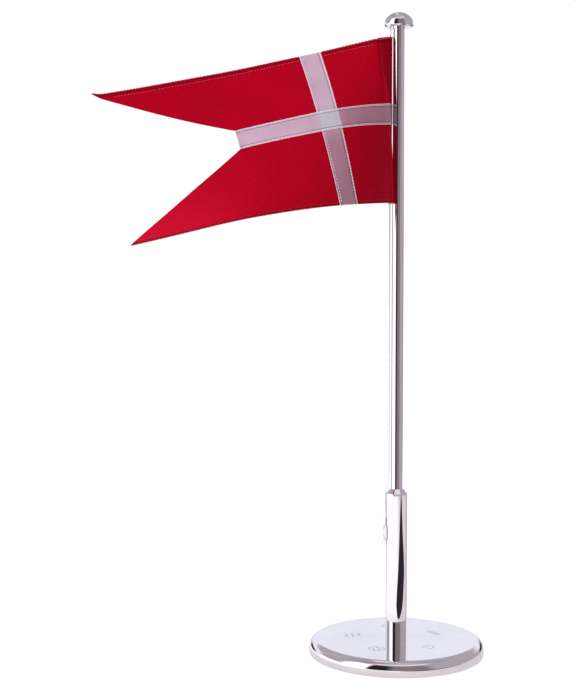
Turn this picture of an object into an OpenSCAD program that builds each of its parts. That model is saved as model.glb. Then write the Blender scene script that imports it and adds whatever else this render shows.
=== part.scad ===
// Desk flag stand: a heavy round base, a two-stage pole, a mushroom finial,
// a thin looped halyard wound on a small cleat, and a sewn swallowtail flag.
// Frame: +Z up, origin at the centre of the face that it stands on, flag flying towards -X,
// front towards -Y. Millimetres.

/* [Base] */
// Diameter of the base disc
base_d = 107; // [85:1:130]
// Thickness of the metal base disc
base_t = 9; // [8:0.5:14]
// Radius of the rounded upper rim
rim_r = 5.4; // [3:0.2:6]
// Radius of the small edge under the rim
foot_edge_r = 0.8; // [0.4:0.1:1.2]
// Distance of the felt's edge in from the disc's edge
felt_inset = 4.5; // [3:0.5:10]
// Thickness of the felt pad
felt_t = 1.2; // [0.8:0.1:2]
// How far the felt stands out below the disc
felt_proud = 0.8; // [0.4:0.1:1]

/* [Engraved marks] */
// Radius of the ring on which the marks sit
mark_ring_r = 27; // [24:0.5:32]
// Width of an engraved line
mark_w = 0.35; // [0.25:0.05:0.5]
// Depth of an engraved line
mark_depth = 0.12; // [0.05:0.01:0.3]

/* [Lower tube] */
// Outside diameter of the lower tube
tube_d = 13; // [12.6:0.2:18]
// Length of the lower tube above the base
tube_l = 90; // [70:1:120]
// Wall of the lower tube
tube_wall = 1.2; // [0.8:0.1:1.4]
// Length of the threaded plug in the tube's foot
foot_plug_l = 14; // [12:1:20]
// Height of the cone on the collar
cone_h = 2.7; // [1.5:0.1:5]
// Flat land round the pole at the top of the cone
cone_land = 0.8; // [0.4:0.1:1.2]
// Length of the collar's spigot inside the tube
collar_l = 14; // [12:1:20]

/* [Pole] */
// Outside diameter of the pole
pole_d = 7; // [5.8:0.1:8.4]
// Wall of the pole tube
pole_wall = 0.7; // [0.5:0.1:1]
// Height of the pole's upper end above the table
pole_top = 381; // [300:1:460]
// Depth to which the pole sits in the collar
pole_seat = 10; // [6:0.5:11]

/* [Finial] */
// Diameter of the mushroom finial
finial_d = 17.6; // [17:0.2:22]
// Height of the dome above its widest ring
dome_h = 7.2; // [6.6:0.1:10]
// Height of the rounded lip below the widest ring
lip_h = 1.8; // [1.4:0.1:3]
// Thickness of the plate that the halyard passes through
plate_t = 1.2; // [0.8:0.1:1.4]

/* [Screws] */
// Diameter of the base screw
screw_d = 5; // [4:0.5:5]
// Diameter of the base screw's head
screw_head_d = 8.8; // [8:0.2:10]
// Diameter of the pole's lower stud
foot_stud_d = 4; // [3:0.5:4]
// Diameter of the pole's upper stud
head_stud_d = 3; // [2.5:0.5:3]
// Radial clearance of a pressed or threaded fit
fit_gap = 0.03; // [0.01:0.01:0.05]

/* [Cleat and halyard] */
// Height of the cleat, horn tip to horn tip
cleat_h = 17; // [14:0.5:22]
// Distance of the cleat's middle below the top of the tube
cleat_drop = 24; // [16:1:50]
// How far the cleat's body stands off the tube
cleat_proud = 1.6; // [1.4:0.1:2.4]
// Extra reach of the horn tips
horn_flare = 1; // [0.6:0.1:1.6]
// Diameter of the halyard
line_d = 0.8; // [0.6:0.05:0.9]
// Distance of the halyard's axis from the face of the pole
line_gap = 1.5; // [1.4:0.05:2.5]
// Clearance between neighbouring turns of the halyard
line_clear = 0.05; // [0.03:0.01:0.1]

/* [Flag] */
// Height of the flag along the hoist
hoist_h = 100; // [80:1:120]
// Length of the flag from hoist to tail tips
fly_l = 180; // [150:1:216]
// Gap between the finial and the top of the flag
flag_drop = 6; // [5.5:0.5:40]
// Width of the white ribbons
ribbon_w = 12.7; // [10:0.1:16]
// Distance from the top edge to the level ribbon
bar_from_top = 40.5; // [34:0.5:44]
// Distance from the hoist to the upright ribbon
cross_from_hoist = 44.7; // [36:0.5:52]
// Distance from the hoist to the bottom of the swallowtail cut
notch_from_hoist = 106.3; // [90:0.5:120]
// Thickness of the cloth
cloth_t = 0.3; // [0.25:0.05:0.4]
// Thickness of a ribbon
ribbon_t = 0.2; // [0.15:0.05:0.2]
// Width of the sleeve that the halyard runs through
sleeve_w = 12; // [10:0.5:14]
// Inside radius of the sleeve round the halyard
sleeve_r = 0.8; // [0.75:0.05:0.85]

/* [Hidden] */
$fn = 96;

// Levels of the stand
disc_z = felt_proud;
base_top = disc_z + base_t;
tube_top = base_top + tube_l;
cone_top = tube_top + cone_h;
pole_bottom = cone_top - pole_seat;
widest_z = pole_top + lip_h;
flag_top = pole_top - flag_drop;

// Radii of the stand
base_r = base_d / 2;
felt_r = base_r - felt_inset;
tube_r = tube_d / 2;
bore_r = tube_r - tube_wall;
pole_r = pole_d / 2;
pole_bore_r = pole_r - pole_wall;
finial_r = finial_d / 2;

// Felt recess, base screw, its washer and the pocket that they sit in
felt_gap = 0.3;
head_gap = 0.2;
washer_rim = 1.2;
washer_gap = 0.9;
shank_gap = 0.25;
washer_bore_gap = 0.2;
washer_r = screw_head_d / 2 + washer_rim;
washer_t = 1;
screw_head_h = 3;
pocket_r = washer_r + washer_gap;
pocket_top = felt_t + head_gap + screw_head_h + washer_t;
screw_reach = 10;
socket_flats = 3;
socket_depth = 1.8;

// Plugs pressed into the two ends of the pole
pole_plug_l = 12;
stud_end_gap = 0.6;

// Halyard: two straight runs, one each side of the pole
line_r = line_d / 2;
line_x = -(pole_r + line_gap);
back_angle = 85;
back_x = (pole_r + line_gap) * cos(back_angle);
back_y = (pole_r + line_gap) * sin(back_angle);
line_foot = cone_top + 6.5;
line_on_tube = tube_r + line_r + line_clear;
line_step = line_d + line_clear;

// Finial: the cavity takes the halyard where it turns over
cavity_r = pole_r + line_gap + 1.4;
plate_r = cavity_r + 0.8;
cavity_top = pole_top + plate_t + 3.2;
boss_r = head_stud_d / 2 + 1.1;
stud_reach = 3.4;
hole_r = line_r + 0.15;

// Cleat
cleat_z = tube_top - cleat_drop;
cleat_half_w = 1;
cleat_post = cleat_h / 2 - 5.2;
horn_root = 0.65;
horn_tip_r = 0.5;
cleat_turns = 2;
rivet_z = 2;
rivet_r = 0.5;
rivet_head_r = 0.8;
rivet_head_h = 0.35;

// Stops on the halyard, inside the ends of the sleeve
stop_r = sleeve_r - 0.1;
stop_h = 2.4;
stop_inset = 3;
running_gap = 0.05;

// Flag. Each point of this net of 5 x 3 control points is
// [share of the fly away from the hoist, share of the hoist towards the front, share of it down].
flag_net = [[[0.050, 0.07, 0.02], [0.017, 0.12, 0.49], [0.006, 0.12, 0.99]],
            [[0.294, 0.04, 0.12], [0.178, 0.50, 0.48], [0.106, 0.50, 1.01]],
            [[0.511, 0.12, 0.22], [0.467, 0.31, 0.66], [0.394, 0.65, 1.03]],
            [[0.739, 0.20, 0.30], [0.656, 0.28, 0.79], [0.594, 0.62, 1.16]],
            [[0.967, 0.28, 0.38], [0.900, 0.48, 0.82], [0.817, 0.69, 1.25]]];
sleeve_mid = sleeve_r + cloth_t / 2;
sleeve_rise = 2;
seam_back = 1;
layer_gap = 0.03;
tip_blunt = 2.5;

// Shares of the hoist where the level ribbon begins and ends
bar_v0 = bar_from_top / hoist_h;
bar_v1 = (bar_from_top + ribbon_w) / hoist_h;

// Stations of the cloth from the sewn end of the sleeve's back layer, round the halyard,
// along the front layer and out to the tail tips
arc_steps = 7;
hoist_steps = 5;
cross_steps = 2;
mid_steps = 7;
tail_steps = 9;
sleeve_stations = arc_steps + 4;
cross_i0 = sleeve_stations + hoist_steps;
cross_i1 = cross_i0 + cross_steps;
notch_i = cross_i1 + mid_steps;
last_i = notch_i + tail_steps;
tail_end = fly_l - tip_blunt;

// Rows of the cloth from the top edge to the bottom edge
upper_rows = 6;
bar_rows = 2;
lower_rows = 6;
last_row = upper_rows + bar_rows + lower_rows;

// ---------- small helpers ----------

function lerp(a, b, t) = a + (b - a) * t;
function unit(v) = v / norm(v);
function flat(v) = [v[0], v[1], 0];
function bez2(p, t) = (1-t)*(1-t)*p[0] + 2*(1-t)*t*p[1] + t*t*p[2];
function bez4(p, t) = let (s = 1 - t)
    s*s*s*s*p[0] + 4*s*s*s*t*p[1] + 6*s*s*t*t*p[2] + 4*s*t*t*t*p[3] + t*t*t*t*p[4];

// Points of an arc in the plane, from angle a0 to a1, on an ellipse of half-axes rx and ry
function arc_points(cx, cy, rx, ry, a0, a1, steps) =
    [for (k = [0:steps]) let (a = lerp(a0, a1, k / steps)) [cx + rx * cos(a), cy + ry * sin(a)]];

// A round cord of radius r along points, with 8 sides; across(i) is a direction never along it
module cord(points, r, across) {
    sides = 8;
    n = len(points);
    rings = [for (i = [0:n-1])
        let (t = unit(points[min(i+1, n-1)] - points[max(i-1, 0)]),
             a = across[i],
             u = unit(a - (a * t) * t),
             w = cross(t, u))
        for (k = [0:sides-1]) points[i] + r * (cos(360*k/sides) * u + sin(360*k/sides) * w)];
    walls = [for (i = [0:n-2]) for (k = [0:sides-1])
        let (a = i*sides + k, b = i*sides + (k+1) % sides)
        each [[a, a + sides, b], [b, a + sides, b + sides]]];
    start = [for (k = [0:sides-1]) k];
    end = [for (k = [sides-1:-1:0]) (n-1)*sides + k];
    polyhedron(rings, concat(walls, [start], [end]));
}

// ---------- engraved marks ----------

module stroke_arc(x, y, r, a0, a1) {
    translate([x, y, 0]) rotate([0, 0, a0]) rotate_extrude(angle = a1 - a0)
        translate([r - mark_w/2, 0]) square([mark_w, 2 * mark_depth]);
}

module stroke_line(x, y, length, angle) {
    translate([x, y, 0]) rotate([0, 0, angle]) translate([0, -mark_w/2, 0])
        cube([length, mark_w, 2 * mark_depth]);
}

module mark_waves() {
    for (x = [-4, 0, 4]) {
        stroke_arc(x - 1, 2, 2, -80, 80);
        stroke_arc(x + 1, -2, 2, 100, 260);
    }
}

module mark_balloon() {
    stroke_arc(0, 0, 4.6, 0, 360);
    for (a = [0:72:288]) stroke_arc(2.2 * cos(a), 2.2 * sin(a), 0.6, 0, 360);
}

module mark_heart() {
    for (side = [-1, 1]) {
        stroke_arc(side * 1.9, 1.2, 1.9, side > 0 ? -30 : 10, side > 0 ? 170 : 210);
        stroke_line(side * 3.5, 0.1, 5.4, side > 0 ? 230.5 : 309.5);
    }
}

module mark_candles() {
    stroke_line(-5.5, -1.8, 11, 0);
    for (x = [-4.5:1.5:4.5]) stroke_line(x, -1.3, 3, 90);
}

module mark_flower() {
    for (a = [0:72:288]) stroke_arc(2.6 * cos(a), 2.6 * sin(a), 1.5, a - 125, a + 125);
    stroke_arc(0, 0, 0.9, 0, 360);
}

module at_mark(i) {
    a = 96 + 72 * i;
    translate([mark_ring_r * cos(a), mark_ring_r * sin(a), base_top - mark_depth]) children();
}

// ---------- base ----------

module base_disc() {
    color("gainsboro") difference() {
        rotate_extrude() polygon(concat(
            [[0, disc_z]],
            arc_points(base_r - foot_edge_r, disc_z + foot_edge_r, foot_edge_r, foot_edge_r, -90, 0, 3),
            arc_points(base_r - rim_r, base_top - rim_r, rim_r, rim_r, 0, 90, 12),
            [[0, base_top]]));
        translate([0, 0, disc_z - 1])
            cylinder(r = felt_r + felt_gap, h = 1 + felt_t - felt_proud);
        translate([0, 0, disc_z - 1])
            cylinder(r = pocket_r, h = pocket_top - disc_z + 1);
        cylinder(r = screw_d/2 + shank_gap, h = base_top + 1);
        at_mark(0) mark_flower();
        at_mark(1) rotate([0, 0, 12]) mark_waves();
        at_mark(2) mark_balloon();
        at_mark(3) rotate([0, 0, 20]) mark_heart();
        at_mark(4) rotate([0, 0, -52]) mark_candles();
    }
}

module base_felt() {
    color("darkslategray") cylinder(r = felt_r, h = felt_t);
}

module base_screw() {
    head_top = pocket_top - washer_t;
    color("silver") difference() {
        union() {
            translate([0, 0, head_top - screw_head_h]) cylinder(d = screw_head_d, h = screw_head_h);
            translate([0, 0, head_top - 0.1])
                cylinder(d = screw_d, h = base_top + screw_reach - head_top + 0.1);
        }
        translate([0, 0, head_top - screw_head_h - 1])
            cylinder(d = socket_flats / cos(30), h = 1 + socket_depth, $fn = 6);
    }
}

module base_washer() {
    color("silver") translate([0, 0, pocket_top - washer_t]) difference() {
        cylinder(r = washer_r, h = washer_t);
        translate([0, 0, -1]) cylinder(r = screw_d/2 + washer_bore_gap, h = washer_t + 2);
    }
}

// ---------- tube and pole ----------

module rivet_holes() {
    for (z = [-rivet_z, rivet_z]) translate([0, 0, cleat_z + z]) rotate([0, -90, 0])
        cylinder(r = rivet_r + fit_gap, h = tube_r + cleat_proud + 2);
}

module lower_tube() {
    color("gainsboro") difference() {
        translate([0, 0, base_top]) cylinder(r = tube_r, h = tube_l);
        translate([0, 0, base_top - 1]) cylinder(r = bore_r, h = tube_l + 2);
        rivet_holes();
    }
}

module foot_plug() {
    color("darkgray") translate([0, 0, base_top]) difference() {
        cylinder(r = bore_r - fit_gap, h = foot_plug_l);
        translate([0, 0, -1]) cylinder(r = screw_d/2 + fit_gap, h = foot_plug_l + 2);
    }
}

module collar() {
    land_r = pole_r + cone_land;
    color("gainsboro") difference() {
        union() {
            translate([0, 0, tube_top - collar_l]) cylinder(r = bore_r - fit_gap, h = collar_l + 0.1);
            translate([0, 0, tube_top]) cylinder(r1 = tube_r, r2 = land_r, h = cone_h);
        }
        translate([0, 0, pole_bottom]) cylinder(r = pole_r + fit_gap, h = pole_seat + 1);
        translate([0, 0, tube_top - collar_l - 1]) cylinder(r = foot_stud_d/2 + fit_gap, h = collar_l + 1);
    }
}

module pole() {
    color("gainsboro") difference() {
        translate([0, 0, pole_bottom]) cylinder(r = pole_r, h = pole_top - pole_bottom);
        translate([0, 0, pole_bottom - 1]) cylinder(r = pole_bore_r, h = pole_top - pole_bottom + 2);
    }
}

module pole_foot() {
    stud_l = pole_bottom - (tube_top - collar_l) - stud_end_gap;
    color("darkgray") {
        translate([0, 0, pole_bottom]) cylinder(r = pole_bore_r - fit_gap, h = pole_plug_l);
        translate([0, 0, pole_bottom - stud_l]) cylinder(d = foot_stud_d, h = stud_l + 0.1);
    }
}

module pole_head() {
    color("darkgray") {
        translate([0, 0, pole_top - pole_plug_l]) cylinder(r = pole_bore_r - fit_gap, h = pole_plug_l);
        translate([0, 0, pole_top - 0.1]) cylinder(d = head_stud_d, h = plate_t + stud_reach + 0.1);
    }
}

// ---------- finial ----------

module finial_plate() {
    color("gainsboro") translate([0, 0, pole_top]) difference() {
        cylinder(r = plate_r - fit_gap, h = plate_t);
        translate([0, 0, -1]) cylinder(r = head_stud_d/2 + fit_gap, h = plate_t + 2);
        translate([line_x, 0, -1]) cylinder(r = hole_r, h = plate_t + 2);
        translate([back_x, back_y, -1]) cylinder(r = hole_r, h = plate_t + 2);
    }
}

module finial_cap() {
    lip_w = finial_r - plate_r - 0.4;
    ceiling = pole_top + plate_t;
    color("gainsboro") difference() {
        rotate_extrude() polygon(concat(
            [[0, pole_top]],
            arc_points(finial_r - lip_w, widest_z, lip_w, lip_h, -90, 0, 6),
            arc_points(0, widest_z, finial_r, dome_h, 6, 90, 14)));
        translate([0, 0, pole_top - 1]) cylinder(r = plate_r, h = plate_t + 1);
        difference() {
            translate([0, 0, ceiling - 0.1]) cylinder(r = cavity_r, h = cavity_top - ceiling + 0.1);
            translate([0, 0, ceiling]) cylinder(r = boss_r, h = cavity_top - ceiling + 1);
        }
        translate([0, 0, ceiling - 0.1]) cylinder(r = head_stud_d/2 + fit_gap, h = stud_reach + 0.4);
    }
}

// ---------- cleat ----------

// Side view of one horn: x stands off the tube, y runs towards the tip
module horn(reach) {
    rise = cleat_h/2 - horn_tip_r;
    tip_x = cleat_proud + reach - horn_tip_r;
    polygon([[cleat_proud - horn_root, 0], [cleat_proud, 0],
             [cleat_proud, cleat_post], [tip_x + horn_tip_r, rise],
             [tip_x - horn_tip_r, rise], [cleat_proud - horn_root, cleat_post + 1.2]]);
    translate([tip_x, rise]) circle(r = horn_tip_r, $fn = 32);
}

module cleat() {
    color("gainsboro") difference() {
        union() {
            translate([0, 0, cleat_z]) rotate([0, -90, 0]) {
                for (side = [-1, 1]) translate([side * (cleat_post - cleat_half_w), 0, 0])
                    cylinder(r = cleat_half_w, h = tube_r + cleat_proud);
                translate([-(cleat_post - cleat_half_w), -cleat_half_w, 0])
                    cube([2 * (cleat_post - cleat_half_w), 2 * cleat_half_w, tube_r + cleat_proud]);
            }
            for (side = [0, 1]) translate([-tube_r, 0, cleat_z]) mirror([0, 0, side])
                rotate([90, 0, 180]) translate([0, 0, -cleat_half_w])
                    linear_extrude(2 * cleat_half_w) horn(horn_flare);
        }
        translate([0, 0, cleat_z - cleat_h]) cylinder(r = tube_r, h = 2 * cleat_h);
        rivet_holes();
    }
}

module cleat_rivets() {
    color("silver") for (z = [-rivet_z, rivet_z]) translate([0, 0, cleat_z + z]) rotate([0, -90, 0]) {
        translate([0, 0, bore_r - 0.3]) cylinder(r = rivet_r, h = tube_wall + cleat_proud + 0.4);
        translate([0, 0, tube_r + cleat_proud]) cylinder(r = rivet_head_r, h = rivet_head_h);
    }
}

// ---------- halyard ----------

// A point beside the tube: side is how far round it towards the back, r its distance from the axis
function beside_tube(r, side, z) = let (a = side / line_on_tube * 180 / PI) [-r * cos(a), r * sin(a), z];

// The line from the front run over the collar to the start of the turns
lead_side = cleat_half_w + line_r + line_clear + cleat_turns * line_step;
turn_level = cleat_post - cleat_half_w;
lead_steps = 6;
lead_points = concat(
    [[line_x, 0, line_foot],
     beside_tube(pole_r + line_gap + 0.15, 0.05, line_foot - 2),
     beside_tube(lerp(pole_r + line_gap, line_on_tube, 0.45), 0.15, tube_top + 3.4),
     beside_tube(lerp(pole_r + line_gap, line_on_tube, 0.9), 0.35, tube_top + 1.2),
     beside_tube(line_on_tube + 0.1, 0.5, tube_top - 0.4)],
    [for (k = [1:lead_steps]) let (t = k / (lead_steps + 1))
        beside_tube(line_on_tube, lerp(0.6, lead_side, t*t*(3 - 2*t)),
                    lerp(tube_top - 1, cleat_z + turn_level, t))]);

// Oval turns round the cleat's post, winding inwards under the horns
turn_points = [for (n = [0:cleat_turns - 1]) for (k = [0:11])
    let (half = k < 6 ? 1 : -1,
         a = k % 6 * 36,
         w = lead_side - line_step * (n + k / 12),
         dy = half * w * cos(a),
         dz = -half * (turn_level + w * sin(a)))
    beside_tube(line_on_tube, dy, cleat_z + dz)];
route_lead = concat(lead_points, [beside_tube(line_on_tube, lead_side, cleat_z + turn_level)],
                    turn_points);

// The other end of the line, from the back run round the tube to the knot
knot_side = lead_side + 1.1;
knot_z = cleat_z + turn_level + 5;
back_side = (180 - back_angle) * PI / 180 * line_on_tube;
tail_steps_n = 12;
route_tail = concat(
    [[back_x, back_y, line_foot],
     beside_tube(pole_r + line_gap + 0.15, back_side - 0.05, line_foot - 2),
     beside_tube(lerp(pole_r + line_gap, line_on_tube, 0.45), back_side - 0.15, tube_top + 3.4),
     beside_tube(lerp(pole_r + line_gap, line_on_tube, 0.9), back_side - 0.4, tube_top + 1.2),
     beside_tube(line_on_tube + 0.1, back_side - 0.7, tube_top - 0.4)],
    [for (k = [1:tail_steps_n]) let (t = k / tail_steps_n)
        beside_tube(line_on_tube, lerp(back_side - 0.9, knot_side, t*t*(3 - 2*t)),
                    lerp(tube_top - 1.5, knot_z, t))]);

// Where the line turns over inside the finial
bight_low = pole_top + plate_t;
bight_rise = 1.9;
bight_bend = 1.2;
bight_points = let (a = [line_x, 0, 0], b = [back_x, back_y, 0], d = unit(b - a), z = [0, 0, 1])
    concat([a + bight_low * z],
           [for (k = [0:4]) let (q = 90 * k / 4)
               a + (bight_low + bight_rise - bight_bend + bight_bend * sin(q)) * z
                 + bight_bend * (1 - cos(q)) * d],
           [for (k = [4:-1:0]) let (q = 90 * k / 4)
               b + (bight_low + bight_rise - bight_bend + bight_bend * sin(q)) * z
                 - bight_bend * (1 - cos(q)) * d],
           [b + bight_low * z]);

module halyard_front() {
    color("lavender") translate([line_x, 0, line_foot])
        cylinder(r = line_r, h = bight_low - line_foot);
}

module halyard_back() {
    color("lavender") translate([back_x, back_y, line_foot])
        cylinder(r = line_r, h = bight_low - line_foot);
}

module halyard_bight() {
    side = cross([0, 0, 1], unit([back_x - line_x, back_y, 0]));
    color("lavender") cord(bight_points, line_r, [for (p = bight_points) side]);
}

module halyard_lead() {
    color("lavender") cord(route_lead, line_r, [for (p = route_lead) flat(p)]);
}

module halyard_tail() {
    color("lavender") cord(route_tail, line_r, [for (p = route_tail) flat(p)]);
}

module line_knot() {
    color("lavender") translate(beside_tube(line_on_tube + 0.75, knot_side, knot_z))
        sphere(r = 1.1, $fn = 32);
}

module stop_bead(z) {
    color("lavender") translate([line_x, 0, z]) difference() {
        cylinder(r = stop_r, h = stop_h);
        translate([0, 0, -1]) cylinder(r = line_r + running_gap, h = stop_h + 2);
    }
}

module stop_upper() stop_bead(flag_top - stop_inset - stop_h);
module stop_lower() stop_bead(flag_top - hoist_h + stop_inset);

// ---------- flag ----------

// The panel's middle surface: u runs from the sleeve's seam to the tail tips, v from top to bottom
function net_point(p) = [line_x - p[0] * fly_l, -p[1] * hoist_h, flag_top - p[2] * hoist_h];
function panel(u, v) = bez4([for (column = flag_net) bez2([for (p = column) net_point(p)], v)], u);
function panel_face(u, v) = let (h = 0.002)
    unit(cross(panel(u + h, v) - panel(u - h, v), panel(u, v + h) - panel(u, v - h)));
function fly_share(s) = (s - sleeve_w) / (fly_l - sleeve_w);

// Distance from the hoist of each panel station
function station_s(i) =
    i <= cross_i0 ? lerp(sleeve_w, cross_from_hoist, (i - sleeve_stations) / hoist_steps)
    : i <= cross_i1 ? cross_from_hoist + ribbon_w * (i - cross_i0) / cross_steps
    : i <= notch_i ? lerp(cross_from_hoist + ribbon_w, notch_from_hoist, (i - cross_i1) / mid_steps)
    : lerp(notch_from_hoist, tail_end, (i - notch_i) / tail_steps);

// Share of the hoist at each row; past the notch the rows close up into the two tails
function row_v(i, j) =
    let (cut = max(0, (station_s(i) - notch_from_hoist) / (fly_l - notch_from_hoist)))
    j <= upper_rows ? bar_v0 * (1 - cut) * j / upper_rows
    : j < upper_rows + bar_rows ? lerp(bar_v0, bar_v1, (j - upper_rows) / bar_rows)
    : lerp(lerp(bar_v1, 1, cut), 1, (j - upper_rows - bar_rows) / lower_rows);

// Middle surface and face direction at station i and row j, as [point, direction].
// In the sleeve the section is two straight layers tangent to a circle round the halyard.
function cloth(i, j) =
    let (v = row_v(max(i, sleeve_stations), j))
    i > sleeve_stations ? [panel(fly_share(station_s(i)), v), panel_face(fly_share(station_s(i)), v)]
    : let (crease = panel(0, v),
           axis = [line_x, 0, crease[2] + sleeve_rise * (1 - v)],
           e = unit(flat(crease - axis)),
           f = [-e[1], e[0], 0],
           reach = norm(flat(crease - axis)),
           drop = (crease[2] - axis[2]) / reach,
           end_x = reach - seam_back,
           end_y = cloth_t + 2 * layer_gap,
           end_r = norm([end_x, end_y]),
           front_a = acos(sleeve_mid / reach),
           back_a = atan2(end_y, end_x) + acos(sleeve_mid / end_r),
           arc_k = (i - 2) / arc_steps,
           a = i < 2 ? -back_a : i > arc_steps + 2 ? front_a - 360 : lerp(-back_a, front_a - 360, arc_k),
           on_circle = sleeve_mid * [cos(a), sin(a)],
           q = i == 0 ? [end_x, -end_y]
             : i == 1 ? lerp([end_x, -end_y], on_circle, 0.5)
             : i == arc_steps + 3 ? lerp(on_circle, [reach, 0], 0.5)
             : i == sleeve_stations ? [reach, 0]
             : on_circle,
           face = cos(a) * e + sin(a) * f)
    [axis + q[0] * e + q[1] * f + [0, 0, drop * max(0, q[0])],
     i == sleeve_stations ? unit(face + panel_face(0, v)) : face];

// A closed sheet between two lattices of points, face and back, over cells i0..i1 by j0..j1.
// Cells past the notch inside the level band are left out when the sheet reaches there.
module sheet(i0, i1, j0, j1, face_off, back_off) {
    ni = i1 - i0 + 1;
    nj = j1 - j0 + 1;
    grid = [for (j = [j0:j1]) for (i = [i0:i1]) cloth(i, j)];
    offs = [for (j = [j0:j1]) for (i = [i0:i1]) i];
    points = concat([for (k = [0:ni*nj-1]) grid[k][0] + face_off(offs[k]) * grid[k][1]],
                    [for (k = [0:ni*nj-1]) grid[k][0] + back_off(offs[k]) * grid[k][1]]);
    in_sheet = function (i, j) i >= i0 && i < i1 && j >= j0 && j < j1
        && !(i >= notch_i && j >= upper_rows && j < upper_rows + bar_rows);
    at = function (i, j) (j - j0) * ni + (i - i0);
    m = ni * nj;
    faces = [for (j = [j0:j1-1]) for (i = [i0:i1-1]) if (in_sheet(i, j))
        let (a = at(i, j), b = at(i+1, j), c = at(i+1, j+1), d = at(i, j+1))
        each concat(
            [[a, c, b], [a, d, c], [a+m, b+m, c+m], [a+m, c+m, d+m]],
            in_sheet(i, j-1) ? [] : [[a, b, b+m], [a, b+m, a+m]],
            in_sheet(i, j+1) ? [] : [[c, d, d+m], [c, d+m, c+m]],
            in_sheet(i+1, j) ? [] : [[b, c, c+m], [b, c+m, b+m]],
            in_sheet(i-1, j) ? [] : [[d, a, a+m], [d, a+m, d+m]])];
    polyhedron(points, faces);
}

module flag_cloth() {
    color("crimson") sheet(0, last_i, 0, last_row,
        function (i) cloth_t/2, function (i) -cloth_t/2);
}

ribbon_low = cloth_t/2 + layer_gap;
ribbon_high = ribbon_low + ribbon_t;
ribbon_step = ribbon_t + layer_gap;
lift = function (i) i >= cross_i0 && i <= cross_i1 ? ribbon_step : 0;

module ribbon_upright_front() {
    color("thistle") sheet(cross_i0, cross_i1, 0, last_row,
        function (i) ribbon_high, function (i) ribbon_low);
}

module ribbon_upright_back() {
    color("thistle") sheet(cross_i0, cross_i1, 0, last_row,
        function (i) -ribbon_low, function (i) -ribbon_high);
}

module ribbon_bar_front() {
    color("thistle") sheet(1, notch_i, upper_rows, upper_rows + bar_rows,
        function (i) ribbon_high + lift(i), function (i) ribbon_low + lift(i));
}

module ribbon_bar_back() {
    color("thistle") sheet(sleeve_stations + 1, notch_i, upper_rows, upper_rows + bar_rows,
        function (i) -ribbon_low - lift(i), function (i) -ribbon_high - lift(i));
}

base_disc();
base_felt();
base_screw();
base_washer();
lower_tube();
foot_plug();
collar();
pole();
pole_foot();
pole_head();
finial_plate();
finial_cap();
cleat();
cleat_rivets();
halyard_front();
halyard_back();
halyard_bight();
halyard_lead();
halyard_tail();
line_knot();
stop_upper();
stop_lower();
flag_cloth();
ribbon_upright_front();
ribbon_upright_back();
ribbon_bar_front();
ribbon_bar_back();
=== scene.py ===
"""Looks of the desk flag stand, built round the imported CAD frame. Metres, +Z up."""
import math

import bpy
import numpy as np
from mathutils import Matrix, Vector


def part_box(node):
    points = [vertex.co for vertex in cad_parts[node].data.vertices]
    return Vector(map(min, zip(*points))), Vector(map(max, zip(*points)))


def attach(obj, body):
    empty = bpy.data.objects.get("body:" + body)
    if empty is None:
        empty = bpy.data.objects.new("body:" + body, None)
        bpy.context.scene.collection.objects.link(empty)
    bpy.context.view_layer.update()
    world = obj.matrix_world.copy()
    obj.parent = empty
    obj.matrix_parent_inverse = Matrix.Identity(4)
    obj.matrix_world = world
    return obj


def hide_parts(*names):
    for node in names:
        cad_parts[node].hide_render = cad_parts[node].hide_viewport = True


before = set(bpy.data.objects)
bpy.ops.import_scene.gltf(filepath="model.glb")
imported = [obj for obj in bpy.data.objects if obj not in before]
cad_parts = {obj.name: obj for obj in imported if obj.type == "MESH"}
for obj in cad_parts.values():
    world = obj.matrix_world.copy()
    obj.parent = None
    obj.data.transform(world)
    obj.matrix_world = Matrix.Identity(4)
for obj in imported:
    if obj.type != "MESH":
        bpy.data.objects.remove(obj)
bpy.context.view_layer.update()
MM = 0.001
rng = np.random.default_rng(7)

# ---- sizes: places from the frame, and the sizes that part.scad states ----

def corners(node):
    """The lowest and the highest corner of a CAD node at rest."""
    return [np.array(corner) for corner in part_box(node)]


disc_lo, disc_hi = corners("base_disc")
felt_hi = corners("base_felt")[1]
tube_hi = corners("lower_tube")[1]
plate_lo, plate_hi = corners("finial_plate")
finial_hi = corners("finial_cap")[1]
cleat_lo, cleat_hi = corners("cleat")
cloth_hi = corners("flag_cloth")[1]
line_lo, line_hi = corners("halyard_front")
back_lo, back_hi = corners("halyard_back")

BASE_R = 53.5 * MM
RIM_R = 5.4 * MM
FOOT_EDGE_R = 0.8 * MM
FELT_R = 49 * MM
POLE_R = 3.5 * MM
TUBE_R = 6.5 * MM
LINE_R = 0.4 * MM
LINE_CLEAR = 0.05 * MM
LINE_X = (line_lo[0] + line_hi[0]) / 2
LINE_FOOT = line_lo[2]

# The cut of the flag. A place on it is w, the length along the fly from the line, and v, the share
# of the hoist from the top edge down.
HOIST_H = 100 * MM
FLY_L = 180 * MM
FLAG_TOP = cloth_hi[2]
SLEEVE_W = 12 * MM
CLOTH_T = 0.3 * MM
RIBBON_W = 12.7 * MM
RIBBON_T = 0.2 * MM
LAYER_GAP = 0.03 * MM
BAR_TOP = 40.5 * MM
CROSS_W = 44.7 * MM
NOTCH_W = 106.3 * MM
TIP_W = 181.6 * MM
CROSS_END = CROSS_W + RIBBON_W
BAR_V0 = BAR_TOP / HOIST_H
BAR_V1 = (BAR_TOP + RIBBON_W) / HOIST_H


# ---- camera ----

CAMERA_PLACE = (-0.0665, -0.8154, 0.2391)
CAMERA_TILT = 3.44


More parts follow.
